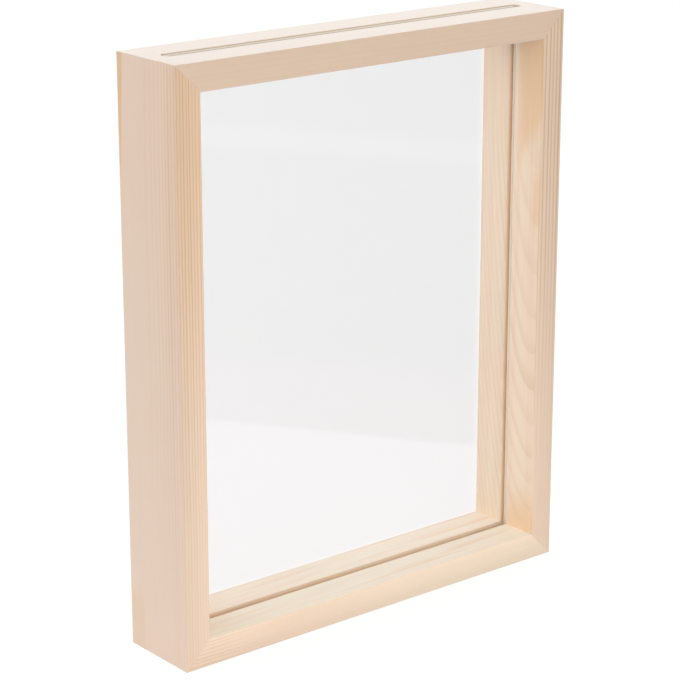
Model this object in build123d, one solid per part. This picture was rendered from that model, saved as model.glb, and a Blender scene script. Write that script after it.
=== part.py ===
from build123d import *
import math
import os

# A double-sided floating picture frame in bare pine, all sizes in millimetres.
# Four deep mitred rails hold two clear panes that slide down through a slot in the top rail.
# The origin is on the table, at the middle of the width and of the depth.
# +X is to the right seen from the front, -Y is the front and +Z is up.

# Frame
frame_width = 208.0
frame_height = 255.0
rail_thickness = 12.0
rail_depth = 40.0
arris = 0.35

# Panes
pane_thickness = 2.0
pane_arris = 0.2
pane_gap = 0.1
pane_top_drop = 0.4

# Groove round the inner faces, and the slot that continues it through the top rail
groove_depth = 3.5
groove_front_play = 1.5
groove_rear_play = 0.4
slot_end_flat = 1.0
slot_end_play = 0.35
pane_seat_gap = 0.1

# Steel V-nails, driven from the rear across each mitre, one behind the other
nails_per_corner = 2
nail_height = 7.0
nail_leg = 5.0
nail_sheet = 0.5
nail_bend = 0.6
nail_lip = 0.9
nail_sink = 0.3
nail_gap = 0.2

# Sizes that follow
groove_width = groove_front_play + 2 * pane_thickness + pane_gap + groove_rear_play
groove_floor = rail_thickness - groove_depth
opening_width = frame_width - 2 * rail_thickness
slot_length = opening_width + 2 * groove_depth
slot_corner_radius = (groove_width - slot_end_flat) / 2

# A pane's corner has to pass the rounded corners at the slot's ends
corner_reach = slot_corner_radius - min(groove_rear_play, slot_corner_radius)
corner_inset = slot_corner_radius - math.sqrt(slot_corner_radius**2 - corner_reach**2)
pane_width = slot_length - 2 * (corner_inset + slot_end_play)
pane_bottom = groove_floor + pane_seat_gap
pane_height = frame_height - pane_top_drop - pane_bottom
pane_middle = pane_bottom + pane_height / 2

# The panes lean on the groove's rear wall, so the wider gap is in front of them
rear_pane_y = groove_width / 2 - groove_rear_play - pane_thickness / 2
front_pane_y = rear_pane_y - pane_thickness - pane_gap

rear_face_y = rail_depth / 2
half_width = frame_width / 2
half_height = frame_height / 2


def rail_section():
    """Section of a rail across its length, with its outer face on Z = 0."""
    with BuildSketch(Plane.YZ) as section:
        Rectangle(rail_depth, rail_thickness, align=(Align.CENTER, Align.MIN))
        chamfer(section.vertices(), length=arris)
    return section.sketch


def grooved_section():
    """Section of a rail with the panes' groove in the middle of its inner face."""
    groove = Plane.YZ * Pos(0, rail_thickness) * Rectangle(
        groove_width, groove_depth, align=(Align.CENTER, Align.MAX)
    )
    return rail_section() - groove


def mitred(section, length):
    """A rail of this section along X, mitred at 45 degrees so that its outer face has the full length."""
    rail = extrude(section, amount=length / 2, both=True)
    for side in (1, -1):
        mitre = Plane(origin=(side * length / 2, 0, 0), z_dir=(side, 0, 1))
        rail = split(rail, bisect_by=mitre, keep=Keep.BOTTOM)
    return rail


def pane_slot():
    """The long slot through the top rail, its corners left round by the cutter."""
    outline = RectangleRounded(slot_length, groove_width, slot_corner_radius)
    return extrude(outline, amount=rail_thickness)


def nail_outline():
    """A V-nail seen from behind, its point at the origin and its legs along -X and -Z.

    The free end of each leg turns outwards in a lip that draws the mitre shut.
    """
    centre_line = FilletPolyline(
        (-nail_leg, -nail_lip),
        (-nail_leg, 0),
        (0, 0),
        (0, -nail_leg),
        (-nail_lip, -nail_leg),
        radius=nail_bend,
    )
    return trace(centre_line, line_width=nail_sheet)


def corner_place(side, top):
    """Place of a corner's V-nails: side is -1 left or 1 right, and top is True for an upper corner."""
    inset = (rail_thickness + nail_leg) / 2
    x = side * (half_width - inset)
    z = frame_height - inset if top else inset
    return x, z


def corner_prism(side, top, start, depth):
    """A V-nail outline at a corner, from start below the rear face and this deep, its point to the opening."""
    x, z = corner_place(side, top)
    outline = Plane.XZ * nail_outline()
    body = extrude(outline, amount=depth)
    if side > 0:
        body = mirror(body, about=Plane.YZ)
    if top:
        body = mirror(body, about=Plane.XY)
    return Pos(x, rear_face_y - start, z) * body


def nail_starts():
    """How far below the rear face each V-nail of a corner begins."""
    return [nail_sink + index * (nail_height + nail_gap) for index in range(nails_per_corner)]


def corner_nails(side, top):
    """The V-nails of one corner, as separate solids one behind the other."""
    nails = []
    for start in nail_starts():
        nails.append(corner_prism(side, top, start, nail_height))
    return Compound(children=nails)


def corner_kerf(side, top):
    """The cut that the V-nails of one corner press into both rails, open at the rear face."""
    depth = nail_starts()[-1] + nail_height
    return corner_prism(side, top, 0, depth)


def pane(y):
    """A clear pane standing in the grooves, its sharp edges taken off."""
    sheet = Box(pane_width, pane_thickness, pane_height)
    sheet = chamfer(sheet.edges(), length=pane_arris)
    return Pos(0, y, pane_middle) * sheet


def build_parts():
    """Every sub-part by its name, in place."""
    long_rail = mitred(grooved_section(), frame_height)
    top = mitred(rail_section(), frame_width) - pane_slot()
    bottom = mitred(grooved_section(), frame_width)
    rails = {
        "top_rail": Pos(0, 0, frame_height) * Rot(0, 180, 0) * top,
        "bottom_rail": bottom,
        "left_stile": Pos(-half_width, 0, half_height) * Rot(0, 90, 0) * long_rail,
        "right_stile": Pos(half_width, 0, half_height) * Rot(0, -90, 0) * long_rail,
    }
    corners = {
        "top_left": (-1, True),
        "top_right": (1, True),
        "bottom_left": (-1, False),
        "bottom_right": (1, False),
    }
    for rail in rails:
        for side, is_top in corners.values():
            rails[rail] = rails[rail] - corner_kerf(side, is_top)
    parts = dict(rails)
    parts["front_pane"] = pane(front_pane_y)
    parts["rear_pane"] = pane(rear_pane_y)
    for corner, (side, is_top) in corners.items():
        parts[f"v_nails_{corner}"] = corner_nails(side, is_top)
    return parts


os.makedirs("parts", exist_ok=True)
for name, shape in build_parts().items():
    export_step(shape, f"parts/{name}.step")
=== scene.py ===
import math
from collections import namedtuple

import bmesh
import bpy
from bpy.props import FloatProperty, FloatVectorProperty, PointerProperty
from mathutils import Matrix, Vector


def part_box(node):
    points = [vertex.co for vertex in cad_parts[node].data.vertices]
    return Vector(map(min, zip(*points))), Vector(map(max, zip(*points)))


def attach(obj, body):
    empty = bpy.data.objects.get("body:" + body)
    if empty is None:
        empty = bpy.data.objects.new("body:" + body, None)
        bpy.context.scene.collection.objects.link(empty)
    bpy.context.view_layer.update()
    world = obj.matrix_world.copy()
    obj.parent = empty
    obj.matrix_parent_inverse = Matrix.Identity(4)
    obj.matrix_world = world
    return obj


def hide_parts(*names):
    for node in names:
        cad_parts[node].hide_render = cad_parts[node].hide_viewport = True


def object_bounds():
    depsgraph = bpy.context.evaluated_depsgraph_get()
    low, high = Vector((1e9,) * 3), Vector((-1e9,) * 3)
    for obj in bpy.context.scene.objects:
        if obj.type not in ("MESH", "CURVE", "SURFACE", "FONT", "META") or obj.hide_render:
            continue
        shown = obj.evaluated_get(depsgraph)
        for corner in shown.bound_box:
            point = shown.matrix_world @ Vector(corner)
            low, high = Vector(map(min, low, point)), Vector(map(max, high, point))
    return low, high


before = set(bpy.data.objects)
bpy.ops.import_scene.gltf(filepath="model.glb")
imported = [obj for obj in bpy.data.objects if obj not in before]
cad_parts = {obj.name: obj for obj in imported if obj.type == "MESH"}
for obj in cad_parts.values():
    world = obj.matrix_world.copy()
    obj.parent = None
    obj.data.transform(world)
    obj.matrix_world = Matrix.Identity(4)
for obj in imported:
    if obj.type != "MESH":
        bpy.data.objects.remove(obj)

bl_info = {
    "name": "Floating picture frame",
    "version": (1, 0, 0),
    "blender": (4, 5, 0),
    "location": "3D View > Sidebar > Floating Frame",
    "description": "Pine rails, clear panes and V-nails of a double-sided floating picture frame",
    "category": "Object",
}

# Sizes that the frame gives, in metres
whole_low, whole_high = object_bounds()
stile_low, stile_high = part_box("left_stile")
nail_low, nail_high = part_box("v_nails_bottom_left")

MM = 0.001
NEAR = 0.00001
SMOOTH_UNDER = math.radians(50)

# How high the finest bumps of a surface stand
RELIEF = 0.02 * MM

# The frame's front face, top, rail thickness and the stiles' inner faces, in millimetres,
# by which the grain and the stains are laid out
FRONT = whole_low.y / MM
TOP = whole_high.z / MM
THICK = (stile_high.x - stile_low.x) / MM
INNER = whole_high.x / MM - THICK


# Properties


class RailSizes(bpy.types.PropertyGroup):
    """Sizes of the four pine rails."""

    width: FloatProperty(
        name="Width", description="Outer width of the frame",
        default=whole_high.x - whole_low.x, unit="LENGTH",
    )
    height: FloatProperty(
        name="Height", description="Outer height of the frame",
        default=whole_high.z - whole_low.z, unit="LENGTH",
    )
    depth: FloatProperty(
        name="Depth", description="Depth of a rail from front to rear",
        default=stile_high.y - stile_low.y, unit="LENGTH",
    )
    thickness: FloatProperty(
        name="Thickness", description="Thickness of a rail from its outer to its inner face",
        default=stile_high.x - stile_low.x, unit="LENGTH",
    )
    arris: FloatProperty(
        name="Arris", description="Radius that the sandpaper left on the long edges",
        default=0.35 * MM, unit="LENGTH",
    )
    rim: FloatProperty(
        name="Rim", description="Radius left on the rims of the groove and of the slot",
        default=0.12 * MM, unit="LENGTH",
    )
    joint_line: FloatProperty(
        name="Joint line", description="Softening of the edges that meet at a mitre",
        default=0.07 * MM, unit="LENGTH",
    )
    groove_width: FloatProperty(
        name="Groove width", description="Width of the groove that both panes stand in",
        default=6.0 * MM, unit="LENGTH",
    )
    groove_depth: FloatProperty(
        name="Groove depth", description="Depth of the groove in the inner faces",
        default=3.5 * MM, unit="LENGTH",
    )
    slot_corner: FloatProperty(
        name="Slot corner", description="Radius that the cutter left at the ends of the slot",
        default=2.5 * MM, unit="LENGTH",
    )


class PaneSizes(bpy.types.PropertyGroup):
    """Sizes of the two clear panes, whose outline comes from the frame."""

    arris: FloatProperty(
        name="Pane arris", description="Width of the ground edge of a pane",
        default=0.2 * MM, unit="LENGTH",
    )


class NailSizes(bpy.types.PropertyGroup):
    """Sizes of the V-nails that draw the mitres shut."""

    length: FloatProperty(
        name="Nail length", description="Length of a V-nail into the wood",
        default=7.0 * MM, unit="LENGTH",
    )
    leg: FloatProperty(
        name="Leg", description="Length of each leg of the V",
        default=5.0 * MM, unit="LENGTH",
    )
    lip: FloatProperty(
        name="Lip", description="Length of the lip turned at the end of a leg",
        default=0.9 * MM, unit="LENGTH",
    )
    sheet: FloatProperty(
        name="Sheet", description="Thickness of the strip steel",
        default=0.5 * MM, unit="LENGTH",
    )
    bend: FloatProperty(
        name="Bend", description="Radius of the strip's bends at its middle",
        default=0.6 * MM, unit="LENGTH",
    )
    kerf_play: FloatProperty(
        name="Kerf play", description="How much wider than the steel its cut in the wood is",
        default=0.08 * MM, unit="LENGTH",
    )


class FinishColours(bpy.types.PropertyGroup):
    """Colours of the materials, in linear light."""

    earlywood: FloatVectorProperty(
        name="Earlywood", description="Pale wood that grows in spring",
        default=(0.88, 0.662, 0.512), subtype="COLOR", min=0, max=1,
    )
    sapwood: FloatVectorProperty(
        name="Sapwood", description="Palest, yellowish streaks of the wood",
        default=(0.92, 0.80, 0.62), subtype="COLOR", min=0, max=1,
    )
    latewood: FloatVectorProperty(
        name="Latewood", description="Dense wood that ends each year's ring",
        default=(0.58, 0.34, 0.16), subtype="COLOR", min=0, max=1,
    )
    resin: FloatVectorProperty(
        name="Resin", description="Amber of the resinous streaks",
        default=(0.82, 0.53, 0.28), subtype="COLOR", min=0, max=1,
    )
    # Painted shade: amber for the shadowed line along the pane groove, painted on its walls
    groove_shade: FloatVectorProperty(
        name="Groove shade", description="Amber that the cutter burnt into the groove",
        default=(0.80, 0.47, 0.20), subtype="COLOR", min=0, max=1,
    )
    pane: FloatVectorProperty(
        name="Pane", description="Tint of the clear panes",
        default=(0.995, 0.997, 0.997), subtype="COLOR", min=0, max=1,
    )
    # Painted light: the warm tint of the pane edges stands for the wood that a clear edge shows inside it
    pane_edge_painted_warmth: FloatVectorProperty(
        name="Pane edge", description="Satin ground edges of a pane, warmed by the wood round them",
        default=(0.97, 0.87, 0.75), subtype="COLOR", min=0, max=1,
    )
    # Painted shade: colour of the front pane's upper edge, for the shadow of the open gap in the slot
    pane_top_painted_shade: FloatVectorProperty(
        name="Pane top", description="Front pane's upper edge, beside the dark open gap of the slot",
        default=(0.60, 0.48, 0.36), subtype="COLOR", min=0, max=1,
    )
    steel: FloatVectorProperty(
        name="Steel", description="Bare strip steel of the V-nails",
        default=(0.56, 0.57, 0.58), subtype="COLOR", min=0, max=1,
    )
    floor: FloatVectorProperty(
        name="Floor", description="Pale studio floor",
        default=(0.90, 0.94, 0.97), subtype="COLOR", min=0, max=1,
    )


class FrameSettings(bpy.types.PropertyGroup):
    """Every size and colour of the floating frame."""

    rails: PointerProperty(type=RailSizes)
    panes: PointerProperty(type=PaneSizes)
    nails: PointerProperty(type=NailSizes)
    colours: PointerProperty(type=FinishColours)


def settings():
    """The sizes and colours that the panel shows."""
    return bpy.context.scene.floating_frame


# Shader maths


class Value:
    """A socket of a node tree, on which plain arithmetic adds Math nodes."""

    def __init__(self, finish, socket):
        self.finish = finish
        self.socket = socket

    def math(self, operation, *numbers):
        return self.finish.node("ShaderNodeMath", {"operation": operation}, dict(enumerate(numbers)))

    def __add__(self, other):
        return self.math("ADD", self, other)

    def __radd__(self, other):
        return self.math("ADD", other, self)

    def __sub__(self, other):
        return self.math("SUBTRACT", self, other)

    def __rsub__(self, other):
        return self.math("SUBTRACT", other, self)

    def __mul__(self, other):
        return self.math("MULTIPLY", self, other)

    def __rmul__(self, other):
        return self.math("MULTIPLY", other, self)

    def __truediv__(self, other):
        return self.math("DIVIDE", self, other)

    def __abs__(self):
        return self.math("ABSOLUTE", self)

    def root(self):
        return self.math("SQRT", self)

    def floor(self):
        return self.math("FLOOR", self)

    def or_more(self, other):
        """The larger of two values."""
        return self.math("MAXIMUM", self, other)

    def step(self, start, end):
        """Rises smoothly from 0 at start to 1 at end, or falls where end is the lower."""
        ends = {"Value": self, "From Min": start, "From Max": end}
        return self.finish.node("ShaderNodeMapRange", {"interpolation_type": "SMOOTHSTEP"}, ends)


class Finish:
    """The node tree of a material or of the world."""

    def __init__(self, tree):
        self.tree = tree
        tree.nodes.clear()

    def node(self, kind, options=None, sockets=None, output=0):
        """Adds a node, sets its options, then the values or links of its sockets, and gives one output."""
        made = self.tree.nodes.new(kind)
        for name, value in (options or {}).items():
            setattr(made, name, value)
        for name, value in (sockets or {}).items():
            if isinstance(value, Value):
                self.tree.links.new(value.socket, made.inputs[name])
            else:
                made.inputs[name].default_value = value
        return Value(self, made.outputs[output]) if len(made.outputs) else None

    def places(self):
        """The surface point's X, Y and Z in millimetres."""
        point = self.node("ShaderNodeTexCoord", output="Object")
        apart = {"Vector": point}
        return [self.node("ShaderNodeSeparateXYZ", sockets=apart, output=axis) * 1000 for axis in "XYZ"]

    def point(self, x, y, z):
        return self.node("ShaderNodeCombineXYZ", sockets={"X": x, "Y": y, "Z": z})

    def noise(self, point, detail=2.0, roughness=0.5):
        """Cloudy noise about 0, mostly from -0.3 to 0.3."""
        sockets = {"Vector": point, "Scale": 1.0, "Detail": detail, "Roughness": roughness}
        return self.node("ShaderNodeTexNoise", sockets=sockets) - 0.5

    def blend(self, share, first, second):
        """The first colour, or the second where share is 1."""
        return self.node("ShaderNodeMix", {"data_type": "RGBA"}, {0: share, 6: first, 7: second}, output=2)

    def dimmed(self, colour, factor):
        return self.node("ShaderNodeVectorMath", {"operation": "SCALE"}, {0: colour, "Scale": factor})

    def relief(self, strength, height):
        """Fine bumps, for the Normal of a shader."""
        bumps = {"Strength": strength, "Distance": RELIEF, "Height": height}
        return self.node("ShaderNodeBump", sockets=bumps)

    def surface(self, shader):
        self.node("ShaderNodeOutputMaterial", sockets={"Surface": shader})


def new_material(name):
    material = bpy.data.materials.new(name)
    material.use_nodes = True
    return material, Finish(material.node_tree)


def rgba(colour):
    return (*colour, 1.0)


# Pine

# How each rail was sawn from its log, in millimetres in the frame's axes.
# heart is where the log's middle would lie across the rail's section: up or to the right, and to the rear.
# lean and bow are how the rings drift along the rail, and ring is the width of a year's growth.
# front is the spacing of the lines on the front face, or 0 where they just run on.
# onset is the share of a year after which dark latewood grows. tone is how pale the rail is,
# and drift how much paler it gets for each millimetre up or to the right.
Sawn = namedtuple("Sawn", "along heart lean bow ring front onset tone drift")
SAWN = {
    "top_rail": Sawn("X", (170.0, 36.0), 0.004, 0.0, 1.9, 0.0, 0.45, 0.885, 0.0),
    # On the bottom rail, the drift paints the wood paler upwards, most on its inner face: painted sheen
    "bottom_rail": Sawn("X", (-62.0, 14.0), 0.012, 0.0, 1.45, 0.0, 0.6, 0.985, 0.014),
    "left_stile": Sawn("Z", (-146.4, 14.9), -0.002, 0.0, 1.17, 0.0, 0.42, 0.95, 0.008),
    "right_stile": Sawn("Z", (30.0, -19.0), -0.098, 0.00014, 1.25, 2.1, 0.35, 0.94, -0.005),
}


def ring_contrast(rail, x, y, z):
    """How strongly this rail's rings show, from 0 to 1."""
    if rail == "left_stile":
        upward = z.step(20, 190) * 0.75 + 0.25
        return y.step(8, -17) * upward * (y.step(FRONT + 1.5, FRONT + 0.4) * 0.4 + 0.6)
    if rail == "right_stile":
        face = y.step(FRONT + 1, FRONT + 0.4)
        return face * (z.step(30, 210) * 0.95 + 0.1) + (1 - face) * (z.step(225, 170) * 0.2 + 0.06)
    if rail == "bottom_rail":
        return y.step(FRONT + 6, FRONT + 1) * x.step(-65, -95) * 0.55 + 0.1
    return 0.07


def groove_tint(rail, wood, tone, x, y, z):
    """The tone given, with the slot's walls painted pale as painted light and darker past the panes' left
    end as painted shade, or amber painted shade on the groove's walls.
    """
    colours, rails = settings().colours, settings().rails
    wall = rails.groove_width / MM / 2
    bed = rails.groove_depth / MM
    between = abs(y).step(wall + 0.3, wall + 0.2)
    if rail == "top_rail":
        end = INNER + bed
        slot = between * z.step(TOP, TOP - 0.1) * abs(x).step(end + 0.5, end + 0.3)
        # Painted light: the slot's walls take the pale sapwood colour, against the shade they stand in
        tone = wood.blend(slot * 0.8, tone, rgba(colours.sapwood))
        # Painted shade: the slot's walls are painted darker past the panes' left end
        return wood.dimmed(tone, 1 - slot * x.step(2.3 - end, 1.3 - end) * 0.85)
    if rail == "bottom_rail":
        # Painted shade: amber painted on the groove's walls below its rim, for the shadow along the groove
        deep = THICK - z
        groove_shade_share = between * deep.step(1.0, 1.8) * deep.step(bed + 0.3, bed + 0.2) * 0.5
    else:
        deep = abs(x) - INNER
        groove_shade_share = between * deep.step(0.4, 1.2) * deep.step(bed + 0.3, bed + 0.2) * 0.8
    return wood.blend(groove_shade_share, tone, rgba(colours.groove_shade))


def stains(rail, wood, x, y, z):
    """How far resin colours this rail's wood, from 0 to 1."""
    cloud = wood.noise(wood.point(x * 0.09, y * 0.09, z * 0.03), detail=3.0)
    if rail == "left_stile":
        outside = x.step(-97, -102) * (z + cloud * 20).step(196, 216)
        edge = (y + z * 0.05 + cloud).step(28.6, 29.2) * outside
        corner = (y + cloud * 3).step(9, 10.5) * (z + cloud * 16).step(28, 14)
        # The front share and the last term make the stile more amber towards its top
        front = (y + cloud * 8).step(-8, FRONT + 1) * (z + cloud * 40).step(60, 225)
        return edge + corner * 0.3 + front * 0.3 + z.step(150, 240) * 0.1
    if rail == "right_stile":
        low_end = z + y * 1.3 + cloud * 16
        upper = (y + cloud * 5).step(-3, -9) * low_end.step(172, 188)
        tongue = (y + cloud * 5).step(-13, -16) * low_end.step(132, 144) * low_end.step(166, 152)
        lower = (y + cloud * 8).step(0, -8) * (z + cloud * 16).step(38, 16)
        return (upper * 0.7 + tongue * 0.45 + lower * 0.7) * x.step(INNER + 1, INNER + 0.3)
    if rail == "bottom_rail":
        streak = wood.noise(wood.point(x * 0.016, y * 0.22, z * 0.22), detail=3.0).step(0.0, 0.2)
        return streak * z.step(THICK - 0.25, THICK) * (x.step(-60, 90) * 0.4 + 0.4)
    return 0.0


def sap(rail, wood, x, y, z):
    """How far this rail's wood is pale sapwood, from 0 to 1, with painted sheen on the bottom rail's inner
    face.
    """
    if rail == "bottom_rail":
        streak = wood.noise(wood.point(x * 0.014, y * 0.2 + 7.0, z * 0.2), detail=3.0).step(-0.2, 0.16)
        # On the inner face the streaks are pale sapwood; the even share and its rise to the front are
        # painted sheen
        above = (streak * 0.6 + y.step(5, -5) * 0.3 + 0.25) * z.step(THICK - 0.25, THICK)
        return above + z.step(THICK, THICK - 0.4) * (x.step(-60, 40) * 0.45 + 0.1)
    if rail == "right_stile":
        streak = wood.noise(wood.point(x * 0.2, y * 0.3 + 3.0, z * 0.008), detail=3.0).step(-0.12, 0.12)
        inside = x.step(INNER + 1, INNER + 0.2)
        return inside * (z.step(90, 0) * 0.25 + y.step(-3, 3) * 0.3 + streak * 0.4)
    return 0.0


def pine(rail):
    """Planed bare pine with growth rings that run on from face to face."""
    colours = settings().colours
    sawn = SAWN[rail]
    material, wood = new_material(f"pine {rail.replace('_', ' ')}")
    x, y, z = wood.places()
    along, across = (x, z) if sawn.along == "X" else (z, x)

    # Distance from the log's heart, which wanders a little, counted in rings
    wander = wood.noise(wood.point(along * 0.006, across * 0.02, y * 0.02), detail=2.0)
    ripple = wood.noise(wood.point(along * 0.02, across * 0.25, y * 0.25), detail=3.0)
    side = across - sawn.heart[0]
    back = y - sawn.heart[1]
    radius = (side * side + back * back).root() + wander * 1.8 + ripple * 0.2
    rings = (radius + along * (sawn.lean + along * sawn.bow)) / sawn.ring
    if sawn.front:
        face = y.step(FRONT + 0.5, FRONT + 0.3)
        rings = rings * (1 - face) + face * ((across + wander) / sawn.front)
    year_line = wood.point(rings * 0.31, 0.0, 0.0)
    rings = rings + wood.noise(year_line, detail=1.0) * 1.5
    year = rings.floor()
    season = rings - year
    luck = wood.node("ShaderNodeTexWhiteNoise", {"noise_dimensions": "1D"}, {"W": year})
    late = season.step(sawn.onset, 0.93) * season.step(1.0, 0.955) * (luck * 0.6 + 0.4)

    # Fibres along the grain, fine resin canals, and slow cloudy changes of tone
    fibre = wood.noise(wood.point(along * 0.11, across * 6.0, y * 6.0), detail=4.0, roughness=0.6)
    strand = wood.noise(wood.point(along * 0.03, across * 1.3, y * 1.3), detail=2.0)
    canal = wood.noise(wood.point(along * 0.16, across * 3.4, y * 3.4), detail=1.0).step(0.2, 0.27)
    cloud = wood.noise(wood.point(along * 0.02, across * 0.09, y * 0.09), detail=2.0)

    tone = wood.blend(sap(rail, wood, x, y, z), rgba(colours.earlywood), rgba(colours.sapwood))
    tone = wood.blend(late * ring_contrast(rail, x, y, z), tone, rgba(colours.latewood))
    tone = wood.blend(stains(rail, wood, x, y, z), tone, rgba(colours.resin))
    tone = groove_tint(rail, wood, tone, x, y, z)
    low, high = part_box(rail)
    middle = (low.x + high.x) / 2 if sawn.along == "Z" else (low.z + high.z) / 2
    pale = (across - middle / MM) * sawn.drift + sawn.tone
    light = 1.0 + fibre * 0.08 + strand * 0.05 + cloud * 0.06 - canal * (0.06 + late * 0.06)
    tone = wood.dimmed(tone, light * pale)

    gloss = {
        "Base Color": tone,
        "Roughness": 0.5 - late * 0.12 + fibre * 0.08,
        "Specular IOR Level": 0.5,
        "Sheen Weight": 1.0,
        "Sheen Roughness": 0.45,
        "Normal": wood.relief(0.35, fibre * 0.5 + late * 0.6 - canal * 0.5),
    }
    wood.surface(wood.node("ShaderNodeBsdfPrincipled", sockets=gloss))
    return material


# Clear sheet and steel

SHEET_IOR = 1.49


def let_light_through(sheet, shader):
    """Lets lamps and the light between surfaces pass a clear shader, so that it throws no dark shadow."""
    clear = sheet.node("ShaderNodeBsdfTransparent", sockets={"Color": (1, 1, 1, 1)})
    for ray in ("Is Diffuse Ray", "Is Shadow Ray"):
        share = sheet.node("ShaderNodeLightPath", output=ray)
        shader = sheet.node("ShaderNodeMixShader", sockets={0: share, 1: shader, 2: clear})
    return shader


def clear_sheet():
    """Polished clear sheet with the faintest unevenness, as drawn or cast."""
    material, sheet = new_material("clear pane")
    x, y, z = sheet.places()
    draw = sheet.noise(sheet.point(x * 0.02, y, z * 0.02), detail=1.0)
    gloss = {
        "Base Color": rgba(settings().colours.pane),
        "Roughness": 0.0,
        "IOR": SHEET_IOR,
        "Transmission Weight": 1.0,
        "Normal": sheet.relief(0.1, draw),
    }
    shader = sheet.node("ShaderNodeBsdfPrincipled", sockets=gloss)
    sheet.surface(let_light_through(sheet, shader))
    return material


def cut_edge():
    """Ground edge of the sheet: satin, with fine marks across it, and a warm tint that is painted light
    from the wood round it.
    """
    colours = settings().colours
    material, sheet = new_material("cut pane edge")
    x, y, z = sheet.places()
    marks = sheet.noise(sheet.point(x * 2.5, y * 0.2, z * 2.5), detail=3.0)
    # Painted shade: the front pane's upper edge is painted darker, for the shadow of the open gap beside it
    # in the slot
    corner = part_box("front_pane")[1] / MM
    beside = z.step(corner.z - 0.4, corner.z - 0.2) * y.step(corner.y + 0.08, corner.y + 0.02)
    tint = sheet.blend(beside, rgba(colours.pane_edge_painted_warmth), rgba(colours.pane_top_painted_shade))
    tint = sheet.dimmed(tint, 1.0 + marks * 0.12)
    gloss = {
        "Base Color": tint,
        "Roughness": 0.42 + marks * 0.2,
        "IOR": SHEET_IOR,
        "Normal": sheet.relief(0.4, marks),
    }
    sheet.surface(sheet.node("ShaderNodeBsdfPrincipled", sockets=gloss))
    return material


def nail_steel():
    """Bare strip steel, drawn lengthwise, with a little tarnish."""
    material, steel = new_material("nail steel")
    x, y, z = steel.places()
    drawn = steel.noise(steel.point(x * 9.0, y * 0.4, z * 9.0), detail=3.0)
    tarnish = steel.noise(steel.point(x * 0.9, y * 0.9, z * 0.9), detail=3.0).step(0.0, 0.3)
    tint = steel.dimmed(tuple(settings().colours.steel), 1.0 + drawn * 0.2 - tarnish * 0.25)
    gloss = {"Base Color": tint, "Metallic": 1.0, "Roughness": 0.34 + tarnish * 0.2 + drawn * 0.1}
    steel.surface(steel.node("ShaderNodeBsdfPrincipled", sockets=gloss))
    return material


# Modelling by hand


def start(piece):
    """Opens one piece in edit mode with nothing selected."""
    bpy.ops.object.select_all(action="DESELECT")
    bpy.context.view_layer.objects.active = piece
    piece.select_set(True)
    bpy.ops.object.mode_set(mode="EDIT")
    bpy.ops.mesh.select_all(action="DESELECT")


def leave():
    bpy.ops.object.mode_set(mode="OBJECT")


def pick_faces(piece, test):
    """Selects the faces whose middle passes the test, and nothing else."""
    bpy.ops.mesh.select_mode(type="FACE")
    bpy.ops.mesh.select_all(action="DESELECT")
    shape = bmesh.from_edit_mesh(piece.data)
    for face in shape.faces:
        if test(face.calc_center_median()):
            face.select_set(True)
    bmesh.update_edit_mesh(piece.data)


def pick_edges(piece, test):
    """Selects the edges whose two ends and sharpness pass the test, and nothing else."""
    bpy.ops.mesh.select_mode(type="EDGE")
    bpy.ops.mesh.select_all(action="DESELECT")
    shape = bmesh.from_edit_mesh(piece.data)
    for edge in shape.edges:
        if test(edge.verts[0].co, edge.verts[1].co, edge.calc_face_angle(0.0)):
            edge.select_set(True)
    bmesh.update_edit_mesh(piece.data)


def near(value, target):
    return abs(value - target) < NEAR


def round_off(width, segments):
    bpy.ops.mesh.bevel(offset=width, segments=segments, affect="EDGES", profile=0.5)


def cut_plane(piece, through, normal):
    """Saws the whole piece off past a plane and closes the cut."""
    bpy.ops.mesh.select_mode(type="VERT")
    bpy.ops.mesh.select_all(action="SELECT")
    bpy.ops.mesh.bisect(plane_co=through, plane_no=normal, use_fill=True, clear_outer=True)


def block(name, low, high):
    """A plain block between two corners, its place in its mesh."""
    bpy.ops.object.select_all(action="DESELECT")
    middle = (Vector(low) + Vector(high)) / 2
    bpy.ops.mesh.primitive_cube_add(size=1, location=middle, scale=Vector(high) - Vector(low))
    piece = bpy.context.object
    piece.name = name
    piece.data.name = name
    settle(piece)
    return piece


def settle(piece):
    """Moves the place, turn and scale of a piece into its mesh."""
    bpy.ops.object.select_all(action="DESELECT")
    bpy.context.view_layer.objects.active = piece
    piece.select_set(True)
    bpy.ops.object.transform_apply(location=True, rotation=True, scale=True)


def turned_copy(piece, name, place, angle):
    """A copy of a piece with its own mesh, turned about Y and then moved to its place."""
    copy = piece.copy()
    copy.data = piece.data.copy()
    copy.name = name
    copy.data.name = name
    bpy.context.collection.objects.link(copy)
    copy.matrix_world = Matrix.Translation(place) @ Matrix.Rotation(math.radians(angle), 4, "Y")
    settle(copy)
    return copy


def remove(*pieces):
    for piece in pieces:
        bpy.data.objects.remove(piece, do_unlink=True)


def apply_modifier(piece, kind, **options):
    bpy.context.view_layer.objects.active = piece
    modifier = piece.modifiers.new(kind.title(), kind)
    for name, value in options.items():
        setattr(modifier, name, value)
    bpy.ops.object.modifier_apply(modifier=modifier.name)


def smooth(piece):
    """Shades the rounded edges smooth and keeps the flat faces flat."""
    start(piece)
    bpy.ops.mesh.select_all(action="SELECT")
    bpy.ops.mesh.normals_make_consistent(inside=False)
    leave()
    bpy.ops.object.shade_smooth_by_angle(angle=SMOOTH_UNDER)
    apply_modifier(piece, "WEIGHTED_NORMAL", keep_sharp=True)


def finish_piece(piece, body, node, slot, *materials):
    """Gives a piece its materials and puts it in the place of its node."""
    piece.data.materials.clear()
    for material in materials:
        piece.data.materials.append(material)
    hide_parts(node)
    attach(piece, body)


# Rails


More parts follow.
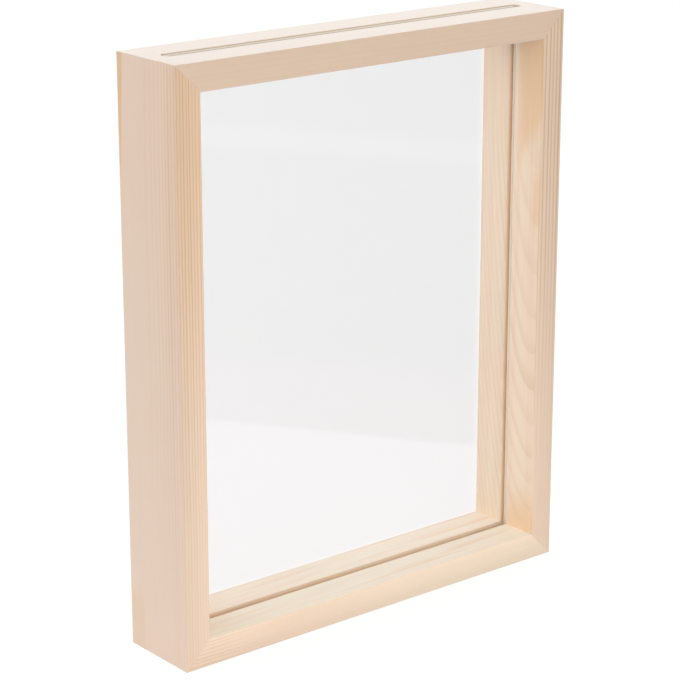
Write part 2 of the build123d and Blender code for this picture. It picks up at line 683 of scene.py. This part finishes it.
def rail_bar(name, length):
    """A bar of rail stock along X with its outer face down, over-long for its mitres, long edges sanded."""
    rails = settings().rails
    half_length = length / 2 + rails.thickness / 4
    half_depth = rails.depth / 2
    bar = block(name, (-half_length, -half_depth, 0), (half_length, half_depth, rails.thickness))
    start(bar)
    pick_edges(bar, lambda a, b, turn: near(abs(a.y), half_depth) and near(a.y, b.y) and near(a.z, b.z))
    round_off(rails.arris, 3)
    leave()
    return bar


def cut_groove(bar):
    """The groove for the panes, along the middle of the inner face."""
    rails = settings().rails
    half = rails.groove_width / 2
    start(bar)
    for side in (-half, half):
        pick_faces(bar, lambda middle: near(middle.z, rails.thickness))
        bpy.ops.mesh.bisect(plane_co=(0, side, 0), plane_no=(0, 1, 0))
    pick_faces(bar, lambda middle: near(middle.z, rails.thickness) and abs(middle.y) < half)
    bpy.ops.mesh.extrude_region_move(TRANSFORM_OT_translate={"value": (0, 0, -rails.groove_depth)})
    pick_edges(bar, lambda a, b, turn: near(abs(a.y), half) and near(a.y, b.y)
               and near(a.z, rails.thickness) and near(b.z, rails.thickness))
    round_off(rails.rim, 2)
    leave()


def cut_slot(bar):
    """The slot right through the bar for the panes, its corners left round by the cutter."""
    rails = settings().rails
    half_width = rails.groove_width / 2
    half_length = rails.width / 2 - rails.thickness + rails.groove_depth

    def flat(middle):
        return near(middle.z, 0) or near(middle.z, rails.thickness)

    def inside(point):
        return abs(point.x) < half_length + NEAR and abs(point.y) < half_width + NEAR

    start(bar)
    for side in (-1, 1):
        pick_faces(bar, flat)
        bpy.ops.mesh.bisect(plane_co=(side * half_length, 0, 0), plane_no=(1, 0, 0))
        pick_faces(bar, flat)
        bpy.ops.mesh.bisect(plane_co=(0, side * half_width, 0), plane_no=(0, 1, 0))
    pick_faces(bar, lambda middle: flat(middle) and inside(middle))
    bpy.ops.mesh.bridge_edge_loops()
    pick_edges(bar, lambda a, b, turn: near(abs(a.x), half_length) and near(abs(a.y), half_width)
               and abs(a.z - b.z) > rails.thickness / 2)
    round_off(rails.slot_corner, 6)
    pick_edges(bar, lambda a, b, turn: turn > 1 and near(a.z, b.z) and inside(a) and inside(b))
    round_off(rails.rim, 2)
    leave()


def cut_mitres(bar, length):
    """Saws both ends at 45 degrees and takes their sharpness off."""
    rails = settings().rails
    start(bar)
    for side in (-1, 1):
        cut_plane(bar, (side * length / 2, 0, 0), (side, 0, 1))
    pick_edges(bar, lambda a, b, turn: near(abs(a.x) + a.z, length / 2) and near(abs(b.x) + b.z, length / 2)
               and turn > 0.5)
    round_off(rails.joint_line, 1)
    leave()


def press_kerfs(rail, corners):
    """The cuts that the V-nails press into a rail at two corners."""
    nails = settings().nails
    rear = whole_high.y
    depth = rear - nail_low.y
    over = 1.0 * MM
    blade = bent_strip("kerf", depth + over, nails.sheet + nails.kerf_play)
    for corner in corners:
        x, z, angle = corner_place(corner)
        cutter = turned_copy(blade, "kerf_cutter", (x, rear - depth, z), angle)
        apply_modifier(rail, "BOOLEAN", operation="DIFFERENCE", object=cutter, solver="EXACT")
        remove(cutter)
    remove(blade)


def finish_rail(bar, name, node, place, angle, corners):
    """Turns a rail to its place, cuts its kerfs and gives it its pine."""
    rail = turned_copy(bar, name, place, angle)
    press_kerfs(rail, corners)
    smooth(rail)
    finish_piece(rail, "frame", node, "pine", pine(node))


class FLOATING_FRAME_OT_grooved_rails(bpy.types.Operator):
    """Builds the bottom rail and the two stiles, grooved for the panes"""

    bl_idname = "floating_frame.grooved_rails"
    bl_label = "Bottom rail and stiles"

    def execute(self, context):
        rails = settings().rails
        bottom = rail_bar("bottom_bar", rails.width)
        stile = rail_bar("stile_bar", rails.height)
        for bar, length in ((bottom, rails.width), (stile, rails.height)):
            cut_groove(bar)
            cut_mitres(bar, length)
        left = (-rails.width / 2, 0, rails.height / 2)
        right = (rails.width / 2, 0, rails.height / 2)
        finish_rail(bottom, "rail_bottom", "bottom_rail", (0, 0, 0), 0, ("bottom_left", "bottom_right"))
        finish_rail(stile, "stile_left", "left_stile", left, 90, ("bottom_left", "top_left"))
        finish_rail(stile, "stile_right", "right_stile", right, -90, ("bottom_right", "top_right"))
        remove(bottom, stile)
        return {"FINISHED"}


class FLOATING_FRAME_OT_slotted_rail(bpy.types.Operator):
    """Builds the top rail with the slot that the panes slide in by"""

    bl_idname = "floating_frame.slotted_rail"
    bl_label = "Top rail"

    def execute(self, context):
        rails = settings().rails
        bar = rail_bar("top_bar", rails.width)
        cut_slot(bar)
        cut_mitres(bar, rails.width)
        finish_rail(bar, "rail_top", "top_rail", (0, 0, rails.height), 180, ("top_left", "top_right"))
        remove(bar)
        return {"FINISHED"}


# Panes


class FLOATING_FRAME_OT_panes(bpy.types.Operator):
    """Builds the two clear panes"""

    bl_idname = "floating_frame.panes"
    bl_label = "Panes"

    def execute(self, context):
        clear, cut = clear_sheet(), cut_edge()
        for node, name in (("front_pane", "pane_front"), ("rear_pane", "pane_rear")):
            pane = block(name, *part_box(node))
            start(pane)
            bpy.ops.mesh.select_all(action="SELECT")
            round_off(settings().panes.arris, 2)
            leave()
            smooth(pane)
            finish_piece(pane, node, node, "clear_pane", clear, cut)
            for face in pane.data.polygons:
                face.material_index = 0 if abs(face.normal.y) > 0.99 else 1
        return {"FINISHED"}


# V-nails


def corner_place(corner):
    """Place across and up of a corner's V-nails, and their turn about Y from the lower left corner's."""
    row, column = corner.split("_")
    low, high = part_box(f"v_nails_{corner}")
    nails = settings().nails
    # The box reaches from the far side of the strip at the point of the V to the ends of its legs
    past = nails.sheet / 2
    x = high.x - past if column == "left" else low.x + past
    z = high.z - past if row == "bottom" else low.z + past
    angles = {"bottom_left": 0, "bottom_right": -90, "top_left": 90, "top_right": 180}
    return x, z, angles[corner]


def bent_strip(name, length, thickness):
    """Strip steel bent to a V with turned lips, its point at the origin and its legs along -X and -Z."""
    nails = settings().nails
    bend, leg, lip = nails.bend, nails.leg, nails.lip
    straight = leg - 2 * bend
    quarter = {"steps": 4, "angle": math.radians(-90), "axis": (0, 1, 0)}
    bpy.ops.object.select_all(action="DESELECT")
    bpy.ops.mesh.primitive_plane_add(
        size=1, location=(-leg, length / 2, -(lip + bend) / 2), rotation=(0, math.radians(90), 0),
    )
    strip = bpy.context.object
    strip.name = name
    strip.scale = (lip - bend, length, 1)
    settle(strip)
    start(strip)
    pick_edges(strip, lambda a, b, turn: near(a.z, -bend) and near(b.z, -bend))
    bpy.ops.mesh.spin(center=(-leg + bend, 0, -bend), **quarter)
    bpy.ops.mesh.extrude_region_move(TRANSFORM_OT_translate={"value": (straight, 0, 0)})
    bpy.ops.mesh.spin(center=(-bend, 0, -bend), **quarter)
    bpy.ops.mesh.extrude_region_move(TRANSFORM_OT_translate={"value": (0, 0, -straight)})
    bpy.ops.mesh.spin(center=(-bend, 0, -leg + bend), **quarter)
    bpy.ops.mesh.extrude_region_move(TRANSFORM_OT_translate={"value": (bend - lip, 0, 0)})
    bpy.ops.mesh.select_all(action="SELECT")
    bpy.ops.mesh.remove_doubles(threshold=NEAR / 10)
    bpy.ops.mesh.normals_make_consistent(inside=False)
    leave()
    apply_modifier(strip, "SOLIDIFY", thickness=thickness, offset=0)
    return strip


class FLOATING_FRAME_OT_v_nails(bpy.types.Operator):
    """Builds the V-nails, two behind each other at every mitre"""

    bl_idname = "floating_frame.v_nails"
    bl_label = "V-nails"

    def execute(self, context):
        nails = settings().nails
        steel = nail_steel()
        nail = bent_strip("nail", nails.length, nails.sheet)
        start(nail)
        pick_edges(nail, lambda a, b, turn: near(a.y, 0) and near(b.y, 0) and turn > 1)
        round_off(nails.sheet * 0.35, 1)
        leave()
        smooth(nail)
        for corner in ("bottom_left", "bottom_right", "top_left", "top_right"):
            x, z, angle = corner_place(corner)
            pair = [
                turned_copy(nail, f"nails_{corner}", (x, y, z), angle)
                for y in (nail_low.y, nail_high.y - nails.length)
            ]
            bpy.ops.object.select_all(action="DESELECT")
            for piece in pair:
                piece.select_set(True)
            bpy.context.view_layer.objects.active = pair[0]
            bpy.ops.object.join()
            finish_piece(pair[0], "frame", f"v_nails_{corner}", "nail_steel", steel)
        remove(nail)
        return {"FINISHED"}


# Stage

# The camera stands where the photograph's parallel edges meet, and looks at the middle of the frame
CAMERA_PLACE = Vector((-0.6272, -0.7607, 0.4271))
CAMERA_AIM = Vector((-0.0059, 0.0, 0.1207))
CAMERA_LENS = 126.417
SENSOR = 36.0

# Where the soft boxes are turned to: the frame's middle, and its bottom rail
LAMP_AIM = (0, 0, 0.12)
LOW_AIM = (0, 0, 0.03)

# Colours of the studio, in linear light
WHITE = (1.0, 1.0, 1.0)
WARM_LAMP = (1.0, 0.97, 0.92)
COOL_LAMP = (0.9, 0.95, 1.0)
WARM_SIDE = (1.0, 0.965, 0.9)
COOL_SIDE = (0.97, 0.985, 1.0)
FAR_FLOOR = (0.4, 0.4, 0.4)
SHADOW_CATCH = (0.25, 0.25, 0.25)
FLOOR_GLOW = 0.84
MIRRORED_FAR = (0.0, 0.0, 0.0)
MIRRORED_ROSY = (0.19, 0.05, 0.08)
MIRRORED_NEAR = (0.5, 0.36, 0.4)
MIRRORED_BAND = (0.11, 0.11, 0.11)


def add_camera():
    lens = bpy.data.cameras.new("camera")
    lens.sensor_width = SENSOR
    lens.lens = CAMERA_LENS
    camera = bpy.data.objects.new("camera", lens)
    bpy.context.collection.objects.link(camera)
    camera.location = CAMERA_PLACE
    camera.rotation_mode = "QUATERNION"
    camera.rotation_quaternion = (CAMERA_AIM - CAMERA_PLACE).to_track_quat("-Z", "Y")
    bpy.context.scene.camera = camera


def add_lamp(name, place, aim, size, power, colour=WHITE):
    """A square soft box."""
    bpy.ops.object.select_all(action="DESELECT")
    bpy.ops.object.light_add(type="AREA", location=place)
    lamp = bpy.context.object
    lamp.name = name
    lamp.data.size = size
    lamp.data.energy = power
    lamp.data.color = colour
    lamp.rotation_mode = "QUATERNION"
    lamp.rotation_quaternion = (Vector(aim) - Vector(place)).to_track_quat("-Z", "Y")


def seen_directly(finish):
    """1 for the camera, in reflections and through the panes, and 0 for light that falls on a surface."""
    seen, mirrored, through = [
        finish.node("ShaderNodeLightPath", output=ray)
        for ray in ("Is Camera Ray", "Is Glossy Ray", "Is Transmission Ray")
    ]
    return seen.or_more(mirrored).or_more(through)


def light_world(front, rear):
    """White for whatever sees it, and for the surfaces a soft light with a strength for each side."""
    world = bpy.data.worlds.new("studio")
    bpy.context.scene.world = world
    world.use_nodes = True
    sky = Finish(world.node_tree)
    direction = {"Vector": sky.node("ShaderNodeTexCoord", output="Generated")}
    backward = sky.node("ShaderNodeSeparateXYZ", sockets=direction, output="Y").step(-0.6, 0.6)
    overhead = sky.node("ShaderNodeSeparateXYZ", sockets=direction, output="Z").step(0.6, 0.85)
    # Little light comes from right above, so that the top face doesn't outshine the others
    ambient = (front + backward * (rear - front)) * (1 - 0.85 * overhead)
    white = seen_directly(sky)
    strength = white + (1 - white) * ambient
    tint = sky.blend(backward, rgba(WARM_SIDE), rgba(COOL_SIDE))
    tint = sky.blend(white, tint, rgba(WHITE))
    light = sky.node("ShaderNodeBackground", sockets={"Color": tint, "Strength": strength})
    sky.node("ShaderNodeOutputWorld", sockets={"Surface": light})


def floor_white():
    """A pale floor that shows white with a faint shadow. The panes mirror it as a dark studio instead."""
    material, floor = new_material("studio floor")
    x, y, z = floor.places()
    away = (x * x + y * y).root()
    swept = away.step(450, 250).or_more(y.step(0, 200))
    pale = floor.blend(swept, rgba(FAR_FLOOR), rgba(settings().colours.floor))
    matt = floor.node("ShaderNodeBsdfDiffuse", sockets={"Color": pale})
    faint = floor.node("ShaderNodeBsdfDiffuse", sockets={"Color": rgba(SHADOW_CATCH)})
    glow = floor.node("ShaderNodeEmission", sockets={"Color": rgba(WHITE), "Strength": FLOOR_GLOW})
    white = floor.node("ShaderNodeAddShader", sockets={0: faint, 1: glow})
    shown = floor.node("ShaderNodeMixShader", sockets={0: seen_directly(floor), 1: matt, 2: white})

    # Millimetres over the floor to the right and the front, across the bands that the panes mirror
    outward = x * 0.826 - y * 0.564
    mirror = floor.blend(outward.step(400, 260), rgba(MIRRORED_FAR), rgba(MIRRORED_ROSY))
    mirror = floor.blend(outward.step(214, 201), mirror, rgba(MIRRORED_NEAR))
    band = outward.step(830, 850) * outward.step(945, 900)
    mirror = floor.blend(band, mirror, rgba(MIRRORED_BAND))
    dark = floor.node("ShaderNodeEmission", sockets={"Color": mirror, "Strength": 1.0})
    mirrored = floor.node("ShaderNodeLightPath", output="Glossy Depth").step(0.4, 0.6)
    floor.surface(floor.node("ShaderNodeMixShader", sockets={0: mirrored, 1: shown, 2: dark}))
    return material


class FLOATING_FRAME_OT_stage(bpy.types.Operator):
    """Builds the floor, the soft boxes, the white surroundings and the camera"""

    bl_idname = "floating_frame.stage"
    bl_label = "Stage"

    def execute(self, context):
        bpy.ops.object.select_all(action="DESELECT")
        bpy.ops.mesh.primitive_plane_add(size=8)
        floor = bpy.context.object
        floor.name = "floor"
        floor.data.materials.append(floor_white())
        light_world(front=0.93, rear=1.46)
        add_lamp("front_soft_box", (-0.8, -1.5, 0.9), LAMP_AIM, size=1.4, power=5.5, colour=WARM_LAMP)
        add_lamp("low_soft_box", (-0.12, -0.48, 0.03), LOW_AIM, size=0.3, power=0.8, colour=COOL_LAMP)
        add_lamp("rear_soft_box", (-1.0, 1.6, 0.8), LAMP_AIM, size=1.6, power=4.5)
        add_camera()
        context.scene.view_settings.view_transform = "Standard"
        return {"FINISHED"}


# Panel and registration


class FLOATING_FRAME_PT_panel(bpy.types.Panel):
    """Lists the sizes, the colours and the building steps of the floating frame"""

    bl_idname = "FLOATING_FRAME_PT_panel"
    bl_label = "Floating Frame"
    bl_space_type = "VIEW_3D"
    bl_region_type = "UI"
    bl_category = "Floating Frame"

    def draw(self, context):
        layout = self.layout
        for group in (settings().rails, settings().panes, settings().nails, settings().colours):
            box = layout.box()
            for name in group.__annotations__:
                box.prop(group, name)
        for step in STEPS:
            layout.operator(step.bl_idname)


STEPS = (
    FLOATING_FRAME_OT_grooved_rails,
    FLOATING_FRAME_OT_slotted_rail,
    FLOATING_FRAME_OT_panes,
    FLOATING_FRAME_OT_v_nails,
    FLOATING_FRAME_OT_stage,
)
GROUPS = (RailSizes, PaneSizes, NailSizes, FinishColours, FrameSettings)
CLASSES = (*GROUPS, *STEPS, FLOATING_FRAME_PT_panel)


def register():
    for cls in CLASSES:
        bpy.utils.register_class(cls)
    bpy.types.Scene.floating_frame = PointerProperty(type=FrameSettings)


def unregister():
    del bpy.types.Scene.floating_frame
    for cls in reversed(CLASSES):
        bpy.utils.unregister_class(cls)


def main():
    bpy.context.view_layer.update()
    register()
    bpy.ops.floating_frame.grooved_rails()
    bpy.ops.floating_frame.slotted_rail()
    bpy.ops.floating_frame.panes()
    bpy.ops.floating_frame.v_nails()
    bpy.ops.floating_frame.stage()


if __name__ == "__main__":
    main()
